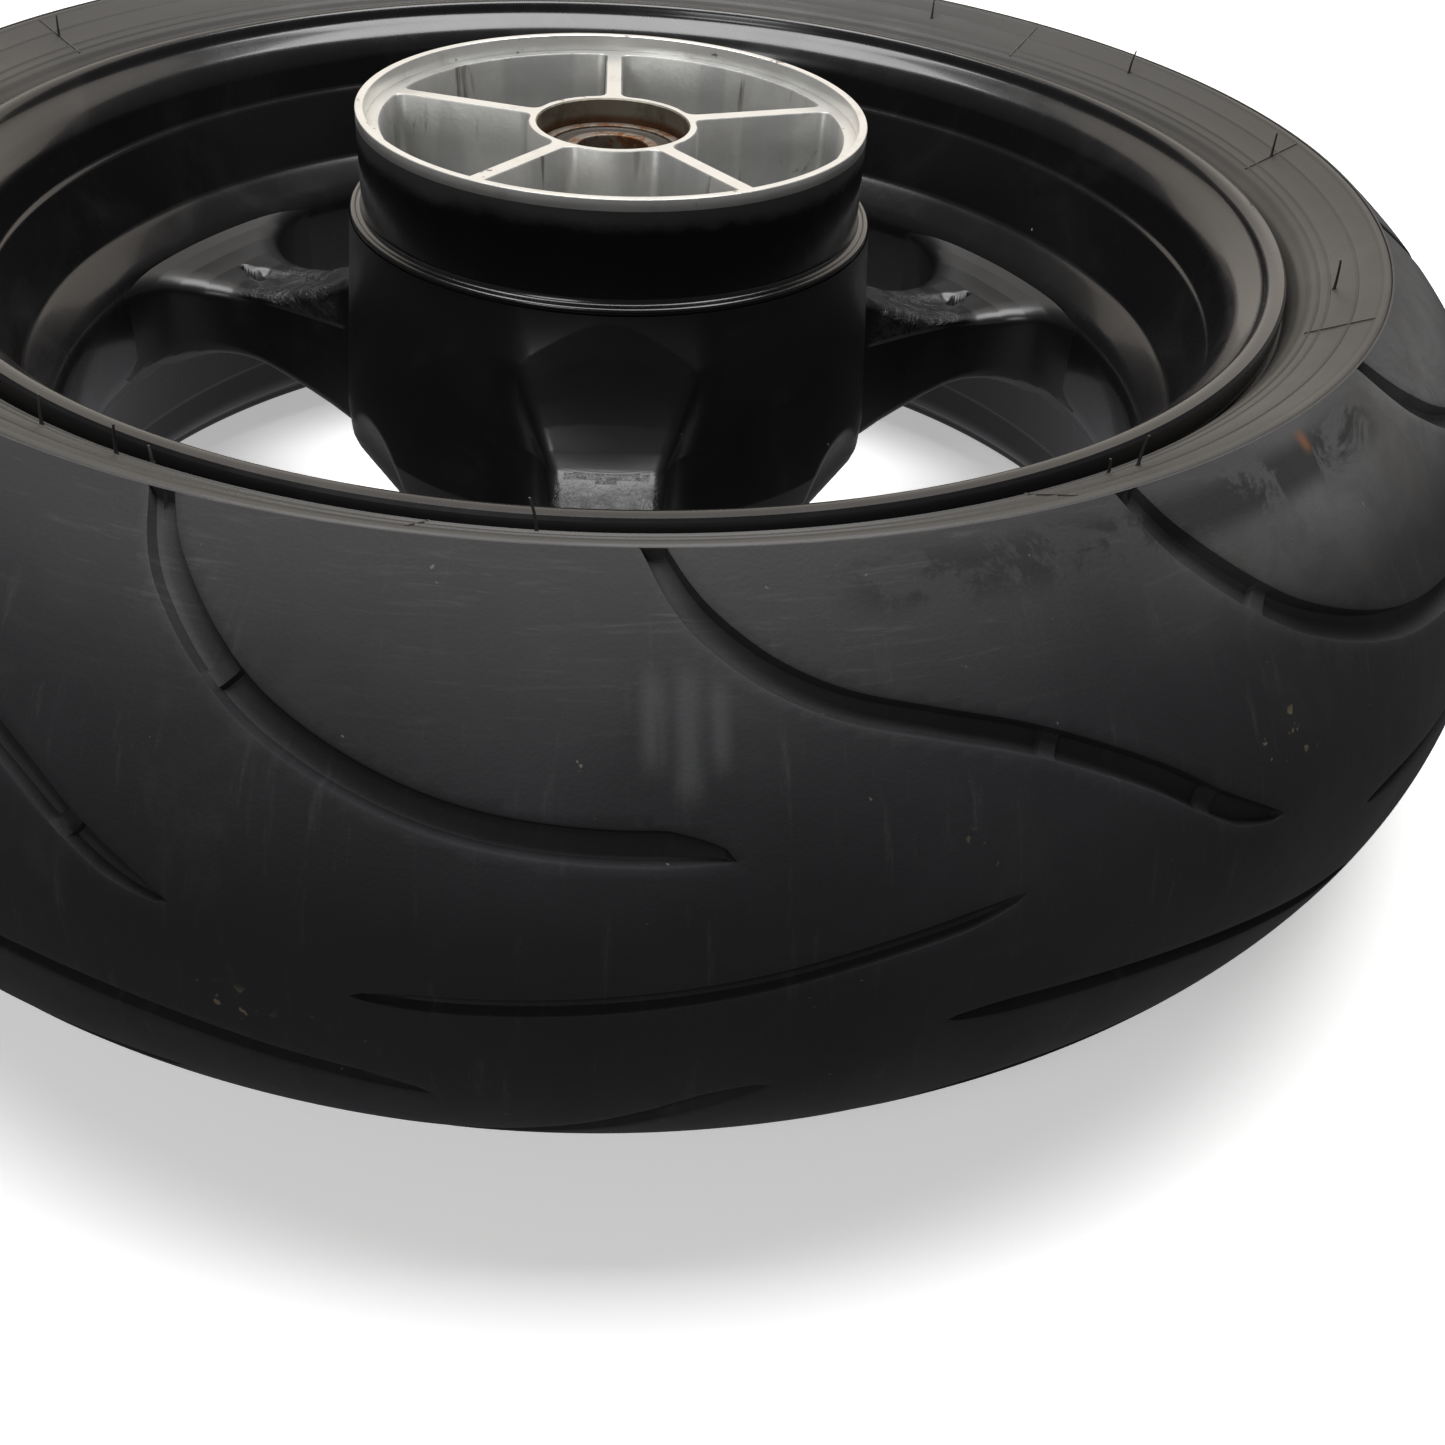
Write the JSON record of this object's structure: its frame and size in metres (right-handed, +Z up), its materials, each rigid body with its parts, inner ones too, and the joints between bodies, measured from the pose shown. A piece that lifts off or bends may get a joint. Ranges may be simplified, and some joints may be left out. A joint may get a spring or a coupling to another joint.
{
  "type": "motorcycle rear wheel with tyre",
  "caption": "Motorcycle rear wheel lying flat: wide low-profile radial tyre on a gloss black cast spoked rim, deep cush-drive hub open at the top, sealed hub bearings and an air valve.",
  "frame": {"origin": "centre of the footprint on the floor the wheel lies on, on the spin axis", "axes": "+Z up along the spin axis, from the brake disc side to the sprocket side; one spoke points along -Y and the air valve lies at +Y, opposite it"},
  "size_m": [0.639, 0.639, 0.2078],
  "materials": {
    "tread": "matte worn tread rubber, blue-grey black",
    "sidewall": "satin warm grey-brown sidewall rubber",
    "ply_cord": "rubbered cord ply",
    "bead_wire": "bronze-plated steel wire",
    "bead_filler": "hard black rubber",
    "black_paint": "gloss black painted cast aluminium, bare machined hub edge and cush cavity",
    "bearing_ring": "ground bearing steel with brown surface rust",
    "bearing_ball": "polished bearing steel",
    "bearing_cage": "pressed steel",
    "seal_rubber": "black seal rubber",
    "spacer_steel": "zinc-plated steel tube",
    "valve_nickel": "nickel-plated",
    "valve_brass": "brass",
    "cap_plastic": "moulded black plastic"
  },
  "bodies": {
    "wheel": {"tread_rubber": "tread", "sidewall_rubber_upper": "sidewall", "sidewall_rubber_lower": "sidewall", "belt_ply": "ply_cord", "carcass_ply": "ply_cord", "bead_core_upper": "bead_wire", "bead_core_lower": "bead_wire", "bead_filler_upper": "bead_filler", "bead_filler_lower": "bead_filler", "wheel_casting": "black_paint", "bearing_outer_ring_upper": "bearing_ring", "bearing_outer_ring_lower": "bearing_ring", "bearing_seal_upper_top": "seal_rubber", "bearing_seal_upper_bottom": "seal_rubber", "bearing_seal_lower_top": "seal_rubber", "bearing_seal_lower_bottom": "seal_rubber", "dust_seal_lower": "seal_rubber", "valve_stem": "valve_nickel", "valve_grommet": "seal_rubber", "valve_washer": "valve_nickel", "valve_nut": "valve_nickel", "valve_core_body": "valve_brass"},
    "axle_core": {"bearing_inner_ring_upper": "bearing_ring", "bearing_inner_ring_lower": "bearing_ring", "axle_spacer_tube": "spacer_steel"},
    "cage_upper": {"bearing_cage_upper": "bearing_cage", "bearing_ball_upper_1": "bearing_ball", "bearing_ball_upper_2": "bearing_ball", "bearing_ball_upper_3": "bearing_ball", "bearing_ball_upper_4": "bearing_ball", "bearing_ball_upper_5": "bearing_ball", "bearing_ball_upper_6": "bearing_ball", "bearing_ball_upper_7": "bearing_ball", "bearing_ball_upper_8": "bearing_ball", "bearing_ball_upper_9": "bearing_ball"},
    "cage_lower": {"bearing_cage_lower": "bearing_cage", "bearing_ball_lower_1": "bearing_ball", "bearing_ball_lower_2": "bearing_ball", "bearing_ball_lower_3": "bearing_ball", "bearing_ball_lower_4": "bearing_ball", "bearing_ball_lower_5": "bearing_ball", "bearing_ball_lower_6": "bearing_ball", "bearing_ball_lower_7": "bearing_ball", "bearing_ball_lower_8": "bearing_ball", "bearing_ball_lower_9": "bearing_ball"},
    "valve_pin": {"valve_core_pin": "valve_brass", "valve_core_seal": "seal_rubber"},
    "cap_seal": {"valve_cap_seal": "seal_rubber"},
    "cap": {"valve_cap": "cap_plastic"}
  },
  "joints": [
    {"name": "axle_core_spin", "type": "hinge", "parent": "wheel", "child": "axle_core", "pos_m": [0, 0, 0.097], "axis": [0, 0, 1], "continuous": true},
    {"name": "cage_upper_spin", "type": "hinge", "parent": "wheel", "child": "cage_upper", "pos_m": [0, 0, 0.1865], "axis": [0, 0, 1], "continuous": true},
    {"name": "cage_lower_spin", "type": "hinge", "parent": "wheel", "child": "cage_lower", "pos_m": [0, 0, 0.0385], "axis": [0, 0, 1], "continuous": true},
    {"name": "valve_pin_press", "type": "slide", "parent": "wheel", "child": "valve_pin", "axis": [0, 1, 0], "range_m": [0, 0.0015], "stiffness_N_per_m": 400, "springref_m": -0.003},
    {"name": "cap_lift", "type": "slide", "parent": "wheel", "child": "cap_seal", "axis": [0, -1, 0], "range_m": [0, 0.00238]},
    {"name": "cap_turn", "type": "hinge", "parent": "cap_seal", "child": "cap", "pos_m": [0, 0.155, 0.097], "axis": [0, -1, 0], "range_deg": [0, 1085]}
  ],
  "couplings": [
    {"joint": "cage_upper_spin", "follows": "axle_core_spin", "ratio": 0.4},
    {"joint": "cage_lower_spin", "follows": "axle_core_spin", "ratio": 0.4},
    {"joint": "cap_turn", "follows": "cap_lift", "rad_per_m": 7913.3}
  ]
}
